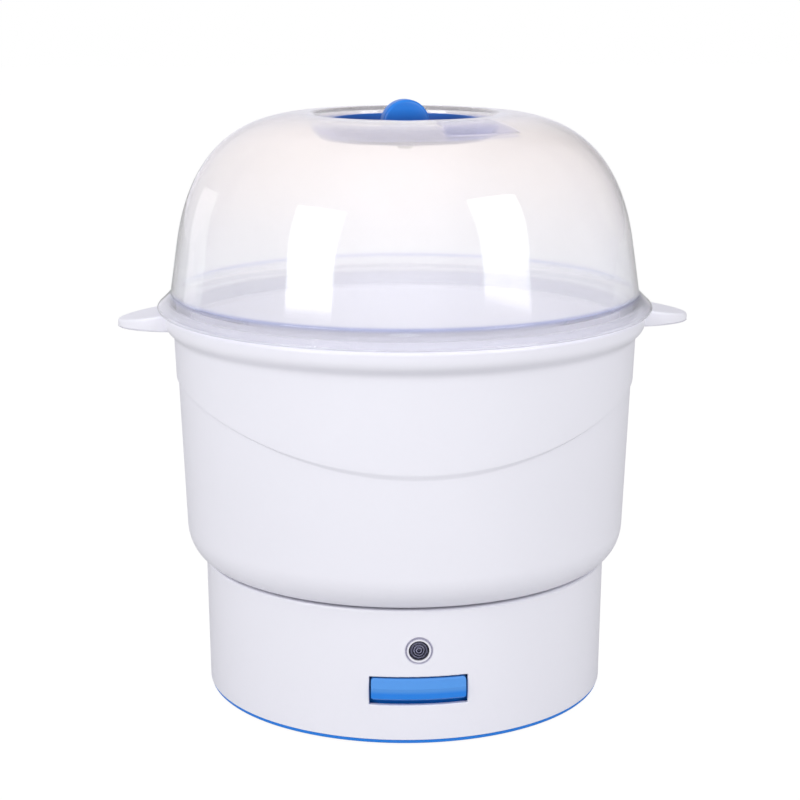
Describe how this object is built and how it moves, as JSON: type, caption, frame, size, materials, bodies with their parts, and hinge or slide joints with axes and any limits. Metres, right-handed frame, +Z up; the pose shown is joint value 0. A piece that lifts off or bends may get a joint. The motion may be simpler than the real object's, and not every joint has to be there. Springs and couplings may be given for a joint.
{
  "type": "baby bottle sterilizer",
  "caption": "Electric steam sterilizer: a lift-off clear dome lid over a white eared tub on a round base with a heating pan, a pilot lamp and a press key.",
  "frame": {"origin": "on the surface it stands on, under the middle of the object", "axes": "+Z up, the key and the pilot lamp face -Y, the two ears lie along X"},
  "size_m": [0.2866, 0.247, 0.297],
  "materials": {
    "white_plastic": "moulded, satin gloss",
    "blue_plastic": "moulded, gloss",
    "clear_plastic": "clear moulded, slightly milky",
    "rack_plastic": "moulded, gloss",
    "lens_plastic": "clear, ribbed",
    "black_plastic": "moulded, matt",
    "rubber": "matt",
    "silicone": "matt, grey white",
    "pan_steel": "stainless, spun finish",
    "zinc_steel": "zinc plated",
    "spring_steel": "drawn wire",
    "cup_aluminium": "pressed",
    "element_steel": "oxidised tube",
    "ferrite": "sintered, dark",
    "brass": "stamped",
    "neon_glass": "clear tube with an orange glow gas",
    "wire_brown": "silicone sleeve",
    "wire_blue": "silicone sleeve",
    "wire_green": "silicone sleeve"
  },
  "bodies": {
    "base": {"base_housing": "white_plastic", "base_ledge": "white_plastic", "bottom_plate": "blue_plastic", "rubber_feet": "rubber", "bottom_screws": "zinc_steel", "bracket_screws": "zinc_steel", "heating_pan": "pan_steel", "pan_seal": "silicone", "pan_nuts": "zinc_steel", "heating_element": "element_steel", "thermostat_cup": "cup_aluminium", "ferrite_disc": "ferrite", "thermostat_spring": "spring_steel", "lever_bracket": "zinc_steel", "pivot_pin": "zinc_steel", "switch_body": "black_plastic", "switch_rivets": "zinc_steel", "switch_tabs": "brass", "lamp_bezel": "white_plastic", "lamp_lens": "lens_plastic", "lamp_holder": "black_plastic", "neon_lamp": "neon_glass", "inlet_socket": "black_plastic", "inlet_blades": "brass", "thermal_fuse": "cup_aluminium", "fuse_clip": "zinc_steel", "live_wire": "wire_brown", "fuse_wire": "wire_brown", "element_wire": "wire_brown", "neutral_wire": "wire_blue", "earth_wire": "wire_green"},
    "key": {"press_key": "blue_plastic", "key_lever": "zinc_steel"},
    "magnet": {"magnet_stem": "cup_aluminium", "thermostat_magnet": "ferrite"},
    "switch_plunger": {"switch_button": "black_plastic"},
    "tub": {"tub": "white_plastic", "tub_ears": "white_plastic"},
    "rack": {"bottle_rack": "rack_plastic", "rack_foot_ring": "rack_plastic", "rack_pegs": "rack_plastic", "rack_column": "rack_plastic"},
    "lid": {"lid_dome": "clear_plastic", "lid_well": "clear_plastic", "lid_grip": "blue_plastic", "grip_washer": "blue_plastic", "grip_screw": "zinc_steel"}
  },
  "joints": [
    {"name": "key_press", "type": "hinge", "parent": "base", "child": "key", "pos_m": [0, -0.0588, 0.028], "axis": [1, 0, 0], "range_deg": [0, 3.41], "stiffness_Nm_per_rad": 0.6, "springref_deg": -8.59},
    {"name": "magnet_lift", "type": "slide", "parent": "base", "child": "magnet", "axis": [0, 0, 1], "range_m": [0, 0.0036], "deforming": ["thermostat_spring"]},
    {"name": "switch_push", "type": "slide", "parent": "base", "child": "switch_plunger", "axis": [0, 0, -1], "range_m": [0, 0.0013]},
    {"name": "tub_lift", "type": "slide", "parent": "base", "child": "tub", "axis": [0, 0, 1], "range_m": [0, 0.15]},
    {"name": "rack_lift", "type": "slide", "parent": "tub", "child": "rack", "axis": [0, 0, 1], "range_m": [0, 0.14]},
    {"name": "lid_lift", "type": "slide", "parent": "rack", "child": "lid", "axis": [0, 0, 1], "range_m": [0, 0.12]}
  ],
  "couplings": [
    {"joint": "magnet_lift", "follows": "key_press", "m_per_rad": 0.0588},
    {"joint": "switch_push", "follows": "key_press", "m_per_rad": 0.021}
  ]
}
